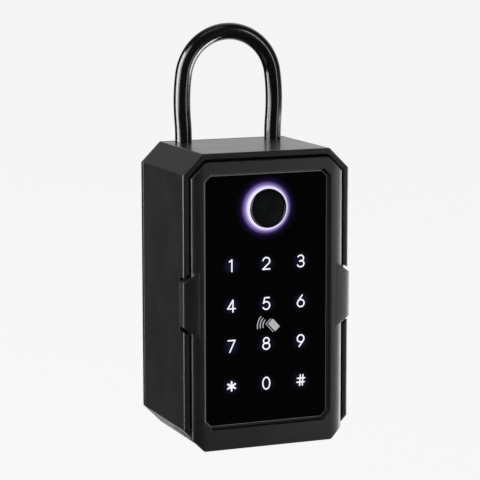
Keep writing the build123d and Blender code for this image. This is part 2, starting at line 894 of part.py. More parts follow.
def make_sensor_bezel():
    inner, outer = reader_radius + glue_gap, reader_radius + reader_rim
    back = glass_back + ring_foot_thick
    profile = [
        (outer - bezel_bevel, -reader_front), (outer, bezel_bevel - reader_front), (outer, back),
        (inner, back), (inner, bezel_ease - reader_front),
    ]
    return turned(profile, 0, reader_height)


def make_fingerprint_sensor():
    front = reader_sink - reader_front
    return rod(reader_radius, (0, front, reader_height), (0, board_front, reader_height))


def key_places():
    """Middles of the digit keys, row by row from the top."""
    pitch = (key_top - key_bottom) / (key_rows - 1)
    columns = (-key_pitch_x, 0, key_pitch_x)
    return [(x, key_top - row * pitch) for row in range(key_rows) for x in columns]


def make_light_mask():
    mask = block((-board_half_width, board_half_width), (mask_front, board_front), (mask_low, mask_high))
    mask = fillet(mask.edges().filter_by(Axis.Y), board_corner)
    wide, tall = mask_window_width / 2, mask_window_height / 2
    for x, z in key_places():
        mask -= block((x - wide, x + wide), (0, board_back), (z - tall, z + tall))
    reach = ring_radius + ring_foot + fit_gap
    return mask - rod(reach, (0, 0, reader_height), (0, board_back, reader_height))


def make_digit_leds():
    wide, tall = led_width / 2, led_height / 2
    return together(
        block((x - wide, x + wide), (board_front - led_thick, board_front), (z - tall, z + tall))
        for x, z in key_places()
    )


def make_keypad_board():
    board = block((-board_half_width, board_half_width), (board_front, board_back), (mask_low, mask_high))
    board = fillet(board.edges().filter_by(Axis.Y), board_corner)
    tongue = block((-port_width / 2, port_width / 2), (board_front, port_middle - port_thick / 2),
                   (rail_height + fit_gap, mask_low + board_corner))
    return board + tongue


def make_usb_port():
    high = port_sink + port_depth
    shell = port_shape(0, port_sink, high) - port_shape(-port_wall, port_sink - over, high - port_end)
    half, thick = port_width / 2 - port_tongue_side, port_tongue_thick / 2
    tongue = (port_middle - thick, port_middle + thick)
    return shell + block((-half, half), tongue, (port_sink + port_tongue_low, high - port_end / 2))


def make_door_seal():
    """A channel of rubber round the sides and the top of the door's skirt, open at the hinge."""
    outer, inner = seal_inset, seal_inset + seal_width
    ring = slab(door_outline(outer), skirt_back, seal_back)
    ring -= slab(door_outline(inner), skirt_back - over, seal_back + over)
    return ring - block((-half_width, half_width), (0, lip_end), (-over, seal_low))


def make_inner_housing():
    cut = door_top_cut - (skirt_wall + housing_flange_gap) * cut_share
    outline = cut_outline(flange_half, housing_low - flange_lap, flange_top, cut, flange_corner)
    half = housing_half_width
    tray = block((-half, half), (housing_front, housing_back), (housing_low, housing_high))
    tray = fillet(tray.edges().filter_by(Axis.Y), housing_corner)
    tray = chamfer(tray.faces().sort_by(Axis.Y)[-1].edges(), housing_bevel)
    housing = slab(outline, flange_front, flange_back) + tray

    # Electronics bay, open towards the glass
    half = electronics_half
    housing -= block((-half, half), (0, electronics_back), (electronics_low, electronics_high))
    housing -= bolt_slot(electronics_high - over, body_height)
    tapped = board_screw + thread_gap
    start = main_board_front + board_thick
    for x, z in post_places():
        housing += rod(post_radius, (x, start, z), (x, electronics_back + fit_gap, z))
        housing -= rod(tapped, (x, 0, z), (x, main_board_front + board_screw_length + over, z))
    for x, z in clamp_screw_places():
        housing -= rod(tapped, (x, electronics_back - over, z), (x, housing_back - board_screw_end_gap, z))

    # Cell bay, open towards the inside of the box, with a rebate for its cover
    housing -= block((-bay_half, bay_half), (bay_front, housing_back + over), (bay_low, bay_high))
    housing -= cover_block(0, housing_back + over)
    for x, z in boss_places():
        housing -= rod(housing_screw_radius + screw_gap, (x, 0, z), (x, housing_back, z))
    return housing


def cover_block(gap, back):
    """The rebate of the cell cover, or the cover itself when a gap is given."""
    half = bay_half + cover_lap - gap
    span = (bay_low - cover_lap / 2 + gap, bay_high + cover_lap - gap)
    return block((-half, half), (housing_back - cover_plate, back), span)


def make_battery_cover():
    cover = cover_block(cover_gap, housing_back)
    cover = fillet(cover.edges().filter_by(Axis.Y), cover_corner)
    wide, tall = groove_length / 2, groove_width / 2
    for step in range(groove_count):
        z = bay_high + cover_lap - cover_gap - groove_drop - groove_pitch * step
        depth = (housing_back - groove_depth, housing_back + over)
        cover -= block((-wide, wide), depth, (z - tall, z + tall))
    return cover


def make_housing_screws():
    return together(
        screw(housing_screw_head, housing_screw_radius, housing_screw_length, small_head_height,
              (x, flange_back, z), (0, -1, 0))
        for x, z in boss_places()
    )


def cell_columns():
    """Place of each cell in X, and whether its nub points up."""
    first = -cell_pitch * (cell_count - 1) / 2
    return [(first + cell_pitch * index, index % 2 == 0) for index in range(cell_count)]


def make_batteries():
    cells = []
    for x, nub_up in cell_columns():
        low = bay_low + contact_thick + (spring_reach if nub_up else 0) + bay_clear / 2
        high = low + cell_length
        body = (low, high - cell_nub) if nub_up else (low + cell_nub, high)
        cell = chamfer(upright(cell_radius, x, cell_depth, body).edges(), cell_bevel)
        cells.append(cell + upright(cell_nub_radius, x, cell_depth, (low, high)))
    return together(cells)


def make_battery_contacts():
    """Flat plates for the nubs, and plates with a bent leaf for the flat ends."""
    contacts = []
    half, inner = contact_width / 2, leaf_half - leaf_strip
    for x, nub_up in cell_columns():
        for z, way in ((bay_low, 1), (bay_high - contact_thick, -1)):
            depth = (cell_depth - half, cell_depth + half)
            contact = block((x - half, x + half), depth, (z, z + contact_thick))
            if (way == 1) == nub_up:
                foot = z + contact_thick / 2
                crest = foot + way * (spring_reach - spring_gap)
                under = crest - way * leaf_strip
                outside = [(-leaf_half, foot), (0, crest), (leaf_half, foot)]
                inside = [(inner, foot), (0, under), (-inner, foot)]
                leaf = [(cell_depth + out, height) for out, height in outside + inside]
                contact += side_profile(leaf, x - leaf_width / 2, x + leaf_width / 2)
            contacts.append(contact)
    return together(contacts)


# Boards


def post_places():
    heights = (main_board_low + post_inset, main_board_high - post_inset)
    return [(side * (main_board_half - post_inset), z) for side in (-1, 1) for z in heights]


def make_main_board():
    depth = (main_board_front, main_board_front + board_thick)
    board = block((-main_board_half, main_board_half), depth, (main_board_low, main_board_high))
    for x, z in post_places():
        board -= rod(board_screw + screw_gap, (x, 0, z), (x, electronics_back, z))
    return board


def make_board_parts():
    """Chips and plugs on the rear of the main board, in shares of its half width and half height."""
    seat = main_board_front + board_thick
    half_height = (main_board_high - main_board_low) / 2
    middle = main_board_low + half_height
    places = [
        ((-0.19, 0.19), (-0.33, 0.33), board_thick),
        ((0.31, 0.55), (0.25, 0.58), 1.4 * board_thick),
        ((0.31, 0.45), (-0.58, -0.17), 1.1 * board_thick),
        ((-0.30, -0.10), (0.50, 0.83), 4.2 * board_thick),
        ((-0.17, 0.12), (-0.88, -0.58), 3.0 * board_thick),
        ((0.52, 0.66), (-0.94, -0.70), 2.2 * board_thick),
    ]
    return together(
        block([share * main_board_half for share in wide], (seat, seat + tall),
              [middle + share * half_height for share in high])
        for wide, high, tall in places
    )


def make_board_screws():
    return together(
        screw(board_screw_head, board_screw, board_screw_length, board_screw_head_height,
              (x, main_board_front, z), (0, 1, 0), slot=False)
        for x, z in post_places()
    )


def make_buzzer():
    seat = main_board_front + board_thick
    x, z = buzzer_side - main_board_half, (main_board_low + main_board_high) / 2
    top = seat + buzzer_height
    can = rod(buzzer_radius, (x, seat, z), (x, top, z))
    return can - rod(buzzer_hole, (x, top - over, z), (x, top + over, z))


# Lock work


def rack_right():
    return bolt_middle + rack_width / 2


def make_lock_bolt():
    half = bolt_width / 2
    nose = block((bolt_middle - half, bolt_middle + half), (bolt_front, bolt_back), (nose_low, bolt_top))
    nose = chamfer(nose.edges().group_by(Axis.Z)[-1], bolt_bevel)
    tip = rack_pitch_depth - rack_addendum
    root = rack_pitch_depth + rack_dedendum
    low = nose_low - rack_length
    bar = block((bolt_middle - rack_width / 2, rack_right()), (root, bolt_back), (low, nose_low + over))

    # Straight-sided teeth, with a gap level with the pinion's middle
    pitch = pi * gear_module
    slope = tan(radians(pressure_angle))
    half_tooth = pitch / 4 - tooth_play / 4
    count = int(rack_length / pitch) // 2
    teeth = bar
    for index in range(-count, count):
        z = pinion_height + (index + 0.5) * pitch
        if low + half_tooth < z < nose_low - pitch:
            out, base = half_tooth - rack_addendum * slope, half_tooth + rack_dedendum * slope
            foot = root + tooth_foot
            flank = [(tip, z + out), (root, z + base), (foot, z + base)]
            other = [(foot, z - base), (root, z - base), (tip, z - out)]
            teeth += side_profile(flank + other, bolt_middle - rack_width / 2, rack_right())
    return nose + teeth


def involute_tooth(middle_angle):
    """Outline points of one pinion tooth about the pinion's middle, as depth and height."""
    base = pinion_radius * cos(radians(pressure_angle))
    roll_at_pitch = tan(radians(pressure_angle)) - radians(pressure_angle)
    half_at_pitch = (pi / 2 * gear_module - tooth_play / 2) / (2 * pinion_radius)
    tip = pinion_radius + pinion_addendum
    root = pinion_radius - pinion_dedendum
    flank = []
    for step in range(flank_steps + 1):
        radius = base + (tip - base) * step / flank_steps
        lean = acos(base / radius)
        flank.append((radius, half_at_pitch + roll_at_pitch - (tan(lean) - lean)))
    start = flank[0][1]
    side = [(root - tooth_foot, start)] + flank
    points = [(r, middle_angle - a) for r, a in side] + [(r, middle_angle + a) for r, a in reversed(side)]
    return [(r * cos(a), r * sin(a)) for r, a in points]


def make_motor_pinion():
    half = rack_width / 2 - rack_end_gap
    root = pinion_radius - pinion_dedendum
    wheel = rod(root, (-half, 0, 0), (half, 0, 0))
    for index in range(pinion_teeth):
        wheel += side_profile(involute_tooth(2 * pi * index / pinion_teeth), -half, half)
    wheel += rod(root - pinion_hub, (-half - pinion_hub, 0, 0), (half + pinion_hub, 0, 0))
    wheel -= rod(shaft_radius, (-rack_width, 0, 0), (rack_width, 0, 0))
    return Pos(bolt_middle, pinion_depth, pinion_height) * wheel


def gearbox_start():
    return rack_right() + rack_motor_gap


def make_lock_motor():
    start = gearbox_start()
    half_y, half_z = motor_thick / 2, motor_width / 2
    depth = (pinion_depth - half_y, pinion_depth + half_y)
    height = (pinion_height - half_z, pinion_height + half_z)
    gearbox = block((start, start + gearbox_length), depth, height)
    can = rod(half_z, (start + gearbox_length, pinion_depth, pinion_height),
              (start + gearbox_length + motor_length, pinion_depth, pinion_height))
    can &= block((start, half_width), depth, height)
    end = start + gearbox_length + motor_length
    can += rod(motor_end_radius, (end, pinion_depth, pinion_height),
               (end + motor_end_length, pinion_depth, pinion_height))
    shaft_start = bolt_middle - rack_width / 2 - shaft_end
    shaft = rod(shaft_radius - shaft_gap, (shaft_start, pinion_depth, pinion_height),
                (start + over, pinion_depth, pinion_height))
    return gearbox + can + shaft


def clamp_ends():
    end = gearbox_start() + gearbox_length
    return (end - clamp_width, end)


def clamp_screw_places():
    low, high = clamp_ends()
    return [((low + high) / 2, pinion_height - clamp_half - clamp_foot / 2)]


def make_motor_clamp():
    """A strap over the gearbox, with a foot against the housing's rear wall."""
    front = pinion_depth - motor_thick / 2 - clamp_gap
    low, high = pinion_height - clamp_half, pinion_height + clamp_half
    inner_low, inner_high = low + clamp_thick, high - clamp_thick
    foot = electronics_back - clamp_thick
    profile = [
        (electronics_back, inner_high), (electronics_back, high), (front - clamp_thick, high),
        (front - clamp_thick, low), (foot, low), (foot, low - clamp_foot),
        (electronics_back, low - clamp_foot), (electronics_back, inner_low), (front, inner_low),
        (front, inner_high),
    ]
    clamp = side_profile(profile, *clamp_ends())
    for x, z in clamp_screw_places():
        clamp -= rod(board_screw + screw_gap, (x, 0, z), (x, housing_back, z))
    return clamp


def make_motor_clamp_screw():
    return together(
        screw(board_screw_head, board_screw, clamp_thick + housing_wall / 2, board_screw_head_height,
              (x, electronics_back - clamp_thick, z), (0, 1, 0), slot=False)
        for x, z in clamp_screw_places()
    )


pieces = {
    "body_shell": make_body_shell,
    "back_plate": make_back_plate,
    "back_plate_screws": make_back_plate_screws,
    "hinge_pin": make_hinge_pin,
    "strike_plate": make_strike_plate,
    "strike_screws": make_strike_screws,
    "latch_cover": make_latch_cover,
    "latch_cover_screws": make_latch_cover_screws,
    "shackle": make_shackle,
    "shackle_latch": make_shackle_latch,
    "door_frame": make_door_frame,
    "touch_glass": make_touch_glass,
    "fingerprint_sensor": make_fingerprint_sensor,
    "sensor_bezel": make_sensor_bezel,
    "sensor_light_ring": make_sensor_light_ring,
    "light_mask": make_light_mask,
    "digit_leds": make_digit_leds,
    "keypad_board": make_keypad_board,
    "main_board": make_main_board,
    "board_parts": make_board_parts,
    "board_screws": make_board_screws,
    "buzzer": make_buzzer,
    "usb_port": make_usb_port,
    "inner_housing": make_inner_housing,
    "housing_screws": make_housing_screws,
    "door_seal": make_door_seal,
    "batteries": make_batteries,
    "battery_contacts": make_battery_contacts,
    "battery_cover": make_battery_cover,
    "lock_motor": make_lock_motor,
    "motor_clamp": make_motor_clamp,
    "motor_clamp_screw": make_motor_clamp_screw,
    "motor_pinion": make_motor_pinion,
    "lock_bolt": make_lock_bolt,
}

for name, make in pieces.items():
    export_step(Pos(0, shift, lift) * make(), f"parts/{name}.step")
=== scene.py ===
import bpy
import numpy as np
from mathutils import Matrix, Vector


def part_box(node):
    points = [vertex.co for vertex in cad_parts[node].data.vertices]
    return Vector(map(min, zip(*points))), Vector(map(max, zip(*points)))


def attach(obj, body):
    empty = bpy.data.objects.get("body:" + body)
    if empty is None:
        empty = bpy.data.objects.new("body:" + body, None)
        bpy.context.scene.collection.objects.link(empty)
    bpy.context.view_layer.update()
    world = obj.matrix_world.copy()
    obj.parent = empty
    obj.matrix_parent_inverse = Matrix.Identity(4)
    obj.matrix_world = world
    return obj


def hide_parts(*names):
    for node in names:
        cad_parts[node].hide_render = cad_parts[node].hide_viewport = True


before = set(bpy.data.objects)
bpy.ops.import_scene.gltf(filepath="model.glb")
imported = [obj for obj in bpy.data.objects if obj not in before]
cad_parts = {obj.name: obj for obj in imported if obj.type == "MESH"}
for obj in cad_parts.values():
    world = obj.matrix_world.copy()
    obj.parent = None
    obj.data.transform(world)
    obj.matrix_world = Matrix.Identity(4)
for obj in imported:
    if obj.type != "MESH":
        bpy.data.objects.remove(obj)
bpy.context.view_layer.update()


# Studio
# The box hangs before a plain pale backdrop, above a pale floor. Two tall soft lamps stand at its left, a
# low one at its right and a thin strip between them. The room ahead is dim, so the black paint stays black.

# The lens and the camera's place are solved from corners of the casing, door and window in the photo.
film_width, camera_lens = 36.0, 162.04  # in millimetres
camera_azimuth, camera_elevation, camera_roll = -21.953, 9.027, -0.089  # in degrees
camera_aim = np.array([-0.00873, -0.01663, 0.08418])
camera_distance = 0.87383
box_middle = np.array([0, 0, 0.08])
backdrop_white = 0.925
floor_height = -0.075
floor_half = 6.0
floor_own_light = 0.9  # the share of its shade that the floor gives itself


def towards(azimuth, elevation):
    """Unit vector out of the box: azimuth turns from ahead of the door to its right, elevation lifts it."""
    a, e = np.radians(azimuth), np.radians(elevation)
    return np.array([np.sin(a) * np.cos(e), -np.cos(a) * np.cos(e), np.sin(e)])


def look_back(place, way):
    """Place and turn of a camera or a lamp at a point, facing against an outward direction."""
    turn = Vector(-way).to_track_quat("-Z", "Y").to_matrix().to_4x4()
    return Matrix.Translation(Vector(place)) @ turn


camera_data = bpy.data.cameras.new("camera")
camera_data.sensor_width, camera_data.lens = film_width, camera_lens
camera_data.clip_start = 0.01
camera = bpy.data.objects.new("camera", camera_data)
bpy.context.scene.collection.objects.link(camera)
camera_way = towards(camera_azimuth, camera_elevation)
camera_roll_turn = Matrix.Rotation(np.radians(camera_roll), 4, "Z")
camera.matrix_world = look_back(camera_aim + camera_distance * camera_way, camera_way) @ camera_roll_turn
bpy.context.scene.camera = camera
bpy.context.scene.view_settings.view_transform = "Standard"


def lamp(name, azimuth, elevation, distance, width, height, radiance):
    """A rectangular soft lamp that faces the box's middle: its power is radiance times pi times its area."""
    data = bpy.data.lights.new(name, "AREA")
    data.shape, data.size, data.size_y = "RECTANGLE", width, height
    data.energy = radiance * np.pi * width * height
    way = towards(azimuth, elevation)
    stand = bpy.data.objects.new(name, data)
    stand.matrix_world = look_back(box_middle + distance * way, way)
    stand.visible_camera = False
    bpy.context.scene.collection.objects.link(stand)


lamp("lamp_left", azimuth=-97, elevation=12, distance=1.3, width=0.75, height=1.35, radiance=6.0)
lamp("lamp_side", azimuth=-72, elevation=22, distance=1.3, width=0.45, height=1.35, radiance=2.2)
lamp("lamp_strip", azimuth=38, elevation=10, distance=1.3, width=0.20, height=1.1, radiance=2.1)
lamp("lamp_right", azimuth=82, elevation=-25, distance=0.72, width=0.53, height=0.52, radiance=5.3)
lamp("lamp_top", azimuth=-20, elevation=75, distance=1.3, width=0.8, height=0.6, radiance=0.25)


def wire(tree, start, end):
    """Joins an output socket to an input socket."""
    tree.links.new(start, end)
    return end


def sum_node(tree, operation, first, second=None, third=None):
    """A math node whose inputs are numbers or sockets."""
    node = tree.nodes.new("ShaderNodeMath")
    node.operation = operation
    for socket, value in zip(node.inputs, (first, second, third)):
        if isinstance(value, bpy.types.NodeSocket):
            wire(tree, value, socket)
        elif value is not None:
            socket.default_value = value
    return node.outputs[0]


def eased(tree, value, low, high, out_low=0.0, out_high=1.0):
    """A value brought smoothly from one range to another, level outside it."""
    node = tree.nodes.new("ShaderNodeMapRange")
    node.interpolation_type = "SMOOTHSTEP"
    wire(tree, value, node.inputs["Value"])
    for name, number in (("From Min", low), ("From Max", high), ("To Min", out_low), ("To Max", out_high)):
        node.inputs[name].default_value = number
    return node.outputs["Result"]


# The world: seen straight it is the white backdrop. In reflections the room behind brightens to the right,
# and what lies ahead is dim. Its other light is a fill that comes mostly from ahead.
world = bpy.data.worlds.new("studio")
bpy.context.scene.world = world
world.use_nodes = True
tree = world.node_tree
tree.nodes.clear()
facing = tree.nodes.new("ShaderNodeSeparateXYZ")
wire(tree, tree.nodes.new("ShaderNodeTexCoord").outputs["Generated"], facing.inputs[0])
behind = eased(tree, facing.outputs["Y"], 0.0, 0.8)
right = eased(tree, facing.outputs["X"], -0.38, 0.60, 0.005, 0.74)
ahead = eased(tree, facing.outputs["X"], -0.5, 1.0, 0.004, 0.03)
room = sum_node(tree, "MULTIPLY_ADD", behind, right, ahead)
light_path = tree.nodes.new("ShaderNodeLightPath")
seen = tree.nodes.new("ShaderNodeMix")
wire(tree, light_path.outputs["Is Glossy Ray"], seen.inputs["Factor"])
wire(tree, eased(tree, facing.outputs["Y"], -1.0, -0.3, 0.8, 0.1), seen.inputs["A"])
wire(tree, room, seen.inputs["B"])
shown = tree.nodes.new("ShaderNodeMix")
wire(tree, sum_node(tree, "MAXIMUM", light_path.outputs["Is Camera Ray"],
                    light_path.outputs["Is Transmission Ray"]), shown.inputs["Factor"])
wire(tree, seen.outputs["Result"], shown.inputs["A"])
shown.inputs["B"].default_value = backdrop_white
glow = tree.nodes.new("ShaderNodeBackground")
wire(tree, shown.outputs["Result"], glow.inputs["Color"])
wire(tree, glow.outputs[0], tree.nodes.new("ShaderNodeOutputWorld").inputs["Surface"])

# The floor: seen straight it gives most of its light itself, so it merges with the backdrop, and reflections
# pass through it.
floor_mesh = bpy.data.meshes.new("floor")
corners = floor_half * np.array([(-1, -1, 0), (1, -1, 0), (1, 1, 0), (-1, 1, 0)]) + (0, 0, floor_height)
floor_mesh.from_pydata(corners.tolist(), [], [(0, 1, 2, 3)])
floor = bpy.data.objects.new("floor", floor_mesh)
bpy.context.scene.collection.objects.link(floor)
floor_paint = bpy.data.materials.new("floor_paint")
floor_paint.use_nodes = True
tree = floor_paint.node_tree
tree.nodes.clear()
light_path = tree.nodes.new("ShaderNodeLightPath")
matt = tree.nodes.new("ShaderNodeBsdfDiffuse")
bright = tree.nodes.new("ShaderNodeEmission")
clear = tree.nodes.new("ShaderNodeBsdfTransparent")
matt.inputs["Color"].default_value = (0.82, 0.82, 0.82, 1)
bright.inputs["Color"].default_value = (0.99, 0.99, 0.99, 1)
own_light = tree.nodes.new("ShaderNodeMixShader")
wire(tree, sum_node(tree, "MULTIPLY", light_path.outputs["Is Camera Ray"], floor_own_light),
     own_light.inputs[0])
wire(tree, matt.outputs[0], own_light.inputs[1])
wire(tree, bright.outputs[0], own_light.inputs[2])
see_through = tree.nodes.new("ShaderNodeMixShader")
wire(tree, light_path.outputs["Is Glossy Ray"], see_through.inputs[0])
wire(tree, own_light.outputs[0], see_through.inputs[1])
wire(tree, clear.outputs[0], see_through.inputs[2])
wire(tree, see_through.outputs[0], tree.nodes.new("ShaderNodeOutputMaterial").inputs["Surface"])
floor_mesh.materials.append(floor_paint)


# Casing and back plate
# Cast zinc, blasted and powder coated satin black. The back plate closes the rear behind a fine groove, and
# every edge is rounded by the thickness of the coat, which catches the light as a thin line.


def noise(tree, spot, grain, detail=2.0):
    """Noise over the object's own coordinates, whose grain is the size of a lump in metres."""
    node = tree.nodes.new("ShaderNodeTexNoise")
    wire(tree, spot, node.inputs["Vector"])
    node.inputs["Scale"].default_value = 1.0 / grain
    node.inputs["Detail"].default_value = detail
    return node.outputs["Fac"]


def tinted(tree, share, low, high):
    """A colour between two, by a share."""
    node = tree.nodes.new("ShaderNodeMix")
    node.data_type = "RGBA"
    for name, colour in (("A", low), ("B", high)):
        if isinstance(colour, bpy.types.NodeSocket):
            wire(tree, colour, node.inputs[name])
        else:
            node.inputs[name].default_value = (*colour, 1)
    wire(tree, share, node.inputs["Factor"])
    return node.outputs["Result"]


def finish(name, colour, rough, metal=0.0, specular=0.5, grain=0.0006, relief=0.02, spread=0.06, tint=0.12,
           edge=0.0, coat=0.0, coat_rough=0.08):
    """A surface whose roughness and shade wander slowly, with a fine relief and softly rounded edges.

    The slow wander is noise 25 times as coarse as the relief's grain.
    """
    made = bpy.data.materials.new(name)
    made.use_nodes = True
    tree = made.node_tree
    shader = tree.nodes["Principled BSDF"]
    shader.inputs["Metallic"].default_value = metal
    shader.inputs["Specular IOR Level"].default_value = specular
    shader.inputs["Coat Weight"].default_value = coat
    shader.inputs["Coat Roughness"].default_value = coat_rough
    spot = tree.nodes.new("ShaderNodeTexCoord").outputs["Object"]
    cloud = noise(tree, spot, 25 * grain)
    darker, lighter = [[min(part * gain, 1) for part in colour] for gain in (1 - tint, 1 + tint)]
    wire(tree, tinted(tree, cloud, darker, lighter), shader.inputs["Base Color"])
    wire(tree, eased(tree, cloud, 0.3, 0.7, rough - spread, rough + spread), shader.inputs["Roughness"])
    bump = tree.nodes.new("ShaderNodeBump")
    bump.inputs["Strength"].default_value = 1.0
    bump.inputs["Distance"].default_value = relief * grain
    wire(tree, noise(tree, spot, grain), bump.inputs["Height"])
    if edge:
        rounding = tree.nodes.new("ShaderNodeBevel")
        rounding.name, rounding.samples = "rounding", 6
        rounding.inputs["Radius"].default_value = edge
        wire(tree, rounding.outputs[0], bump.inputs["Normal"])
    wire(tree, bump.outputs[0], shader.inputs["Normal"])
    return made


def dress(material, *names):
    """Puts a finish on CAD nodes."""
    for name in names:
        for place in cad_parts[name].material_slots:
            place.material = material


coat_black = (0.0035, 0.0035, 0.0037)
casing_coat = finish("casing_coat", coat_black, 0.42, specular=1.0, spread=0.03, edge=0.0006, coat=0.6,
                     coat_rough=0.18)
dress(casing_coat, "body_shell", "back_plate")

# Screws and hinge pin
# Turned and cold-headed steel, blackened on the back plate and the housing and bright zinc elsewhere. The
# screws sit in tapped holes, and the pin is pushed through both lugs from the side.

bright_zinc = finish("bright_zinc", (0.56, 0.57, 0.58), 0.30, metal=1.0, grain=0.0004, spread=0.08,
                     edge=0.0001)
black_oxide = finish("black_oxide", (0.06, 0.06, 0.065), 0.38, metal=1.0, grain=0.0004, edge=0.0001)
dress(black_oxide, "back_plate_screws", "housing_screws")
dress(bright_zinc, "hinge_pin", "strike_screws", "latch_cover_screws", "board_screws", "motor_clamp_screw")

# Strike, keyhole plate and its cover
# Pressed from zinc-plated sheet, so they show a faint grain along X. The keyhole plate slides under the
# shackle block between the cover and the casting, and its bent tab hangs into the box.

brushed_grain = 0.0004


def brushed(name, colour, rough, scale):
    """Metal with fine lines: noise drawn out along the axis, X, Y or Z, that has a small scale."""
    made = finish(name, colour, rough, metal=1.0, grain=brushed_grain, relief=0.01, edge=0.0001)
    tree = made.node_tree
    lines = tree.nodes.new("ShaderNodeMapping")
    lines.inputs["Scale"].default_value = scale
    wire(tree, tree.nodes.new("ShaderNodeTexCoord").outputs["Object"], lines.inputs["Vector"])
    streaks = noise(tree, lines.outputs[0], brushed_grain, 3.0)
    shader = tree.nodes["Principled BSDF"]
    wire(tree, eased(tree, streaks, 0.25, 0.75, rough - 0.1, rough + 0.12), shader.inputs["Roughness"])
    return made


sheet_zinc = brushed("sheet_zinc", (0.60, 0.60, 0.62), 0.32, (0.06, 1.0, 1.0))
dress(sheet_zinc, "strike_plate", "shackle_latch", "latch_cover")

# Shackle
# A 7 mm hardened steel bar, bent round a former and dipped in gloss black. Each leg runs up straight from
# its bore, leans out a little, and passes through a side arc into the crown. A neck is turned near each tip.

bar_radius = 0.0035
leg_spread = 0.020
shackle_low, shackle_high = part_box("shackle")
leg_plane = (shackle_low.y + shackle_high.y) / 2
leg_tip = shackle_low.z
casing_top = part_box("body_shell")[1].z
crown_ease = 0.0003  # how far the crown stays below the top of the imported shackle
crown_line = shackle_high.z - bar_radius - crown_ease
loop_bulge, crown_height, crown_radius = 0.0006, 0.0288, 0.020
leg_straight = 0.002
bend_start = casing_top + leg_straight
tip_height, neck_height, neck_radius, tip_bevel = 0.0014, 0.0028, 0.0023, 0.0008
bar_sides = 64
lean_steps, arch_steps = 6, 24


def grid_piece(name, points, faces, material, smooth_angle=35):
    """A mesh object from points and faces, smooth except where its faces meet at more than an angle."""
    mesh = bpy.data.meshes.new(name)
    mesh.from_pydata(points.tolist(), [], faces)
    mesh.validate()
    mesh.materials.append(material)
    mesh.shade_smooth()
    mesh.set_sharp_from_angle(angle=np.radians(smooth_angle))
    piece = bpy.data.objects.new(name, mesh)
    bpy.context.scene.collection.objects.link(piece)
    return piece


def quads(rows, columns, closed_rows=False):
    """Faces of a grid that closes on itself across its columns, and across its rows too where asked."""
    row, column = np.meshgrid(np.arange(rows - (not closed_rows)), np.arange(columns), indexing="ij")
    upper, after = (row + 1) % rows, (column + 1) % columns
    ring = [row * columns + column, row * columns + after, upper * columns + after, upper * columns + column]
    return np.stack(ring, axis=-1).reshape(-1, 4).tolist()


def arc(centre, radius, start, end, steps):
    """Points of a circle's arc in X and Z, between two angles from the X axis, without its first point."""
    angle = np.linspace(start, end, steps + 1)[1:]
    return np.stack([centre[0] + radius * np.cos(angle), centre[1] + radius * np.sin(angle)], axis=1)


def shackle_line():
    """Right half of the bar's centre line, from the bend to the crown, and its turn from upright.

    Two equal arcs lead the leg out and upright again. Then a side arc and a crown arc meet in a tangent.
    """
    half = leg_spread + loop_bulge
    widest = crown_line - crown_height
    rise = widest - bend_start
    bend = (rise**2 + loop_bulge**2) / (4 * loop_bulge)
    lean = 2 * np.arctan2(loop_bulge, rise)
    side = (half**2 + crown_height**2 - 2 * crown_height * crown_radius) / (2 * (half - crown_radius))
    side_middle = (half - side, widest)
    crown_middle = (0.0, crown_line - crown_radius)
    turn = np.arctan2(crown_middle[1] - side_middle[1], crown_middle[0] - side_middle[0])
    line = np.concatenate([
        arc((leg_spread + bend, bend_start), bend, np.pi, np.pi - lean, lean_steps),
        arc((half - bend, widest), bend, -lean, 0, lean_steps),
        arc(side_middle, side, 0, turn, arch_steps),
        arc(crown_middle, crown_radius, turn, np.pi / 2, arch_steps),
    ])
    tangent = np.concatenate([
        -np.linspace(0, lean, lean_steps + 1)[1:], -np.linspace(lean, 0, lean_steps + 1)[1:],
        np.linspace(0, turn, arch_steps + 1)[1:], np.linspace(turn, np.pi / 2, arch_steps + 1)[1:],
    ])
    return line, tangent


line, lean = shackle_line()
neck_low, neck_high = leg_tip + tip_height, leg_tip + tip_height + neck_height
leg_heights = np.array([leg_tip, leg_tip + tip_bevel, neck_low, neck_low, neck_high, neck_high, bend_start])
leg_radii = np.array([bar_radius - tip_bevel, bar_radius, bar_radius, neck_radius, neck_radius, bar_radius,
                      bar_radius])
leg_line = np.stack([np.full(len(leg_heights), leg_spread), leg_heights], axis=1)
right_line = np.concatenate([leg_line, line])
right_lean = np.concatenate([np.zeros(len(leg_heights)), lean])
right_radii = np.concatenate([leg_radii, np.full(len(line), bar_radius)])
centre = np.concatenate([right_line, (right_line * (-1, 1))[-2::-1]])
angle = np.concatenate([right_lean, np.pi - right_lean[-2::-1]])
radii = np.concatenate([right_radii, right_radii[-2::-1]])
around = np.linspace(0, 2 * np.pi, bar_sides + 1)[:-1]
out, deep = radii[:, None] * np.cos(around), radii[:, None] * np.sin(around)
bar_points = np.stack([
    centre[:, :1] + out * np.cos(angle)[:, None],
    leg_plane + deep,
    centre[:, 1:] + out * np.sin(angle)[:, None],
], axis=-1).reshape(-1, 3)
last_ring = (len(centre) - 1) * bar_sides
bar_faces = quads(len(centre), bar_sides)
bar_faces += [list(range(bar_sides - 1, -1, -1)), list(range(last_ring, last_ring + bar_sides))]
gloss_coat = finish("gloss_coat", (0.004, 0.004, 0.0045), 0.16, specular=1.0, grain=0.0012, relief=0.004,
                    spread=0.03, coat=1.0, coat_rough=0.16)
shackle = grid_piece("shackle_bar", bar_points, bar_faces, gloss_coat)
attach(shackle, "shackle")
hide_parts("shackle")

# Door
# Cast like the casing and coated satin black, with a crowned border, two grips that reach out to the sides
# and a foot that turns back under the box to the hinge. The coat is thicker in the grips' roots, which
# rounds them more, and smoother on the window's slopes, where nothing rubs.

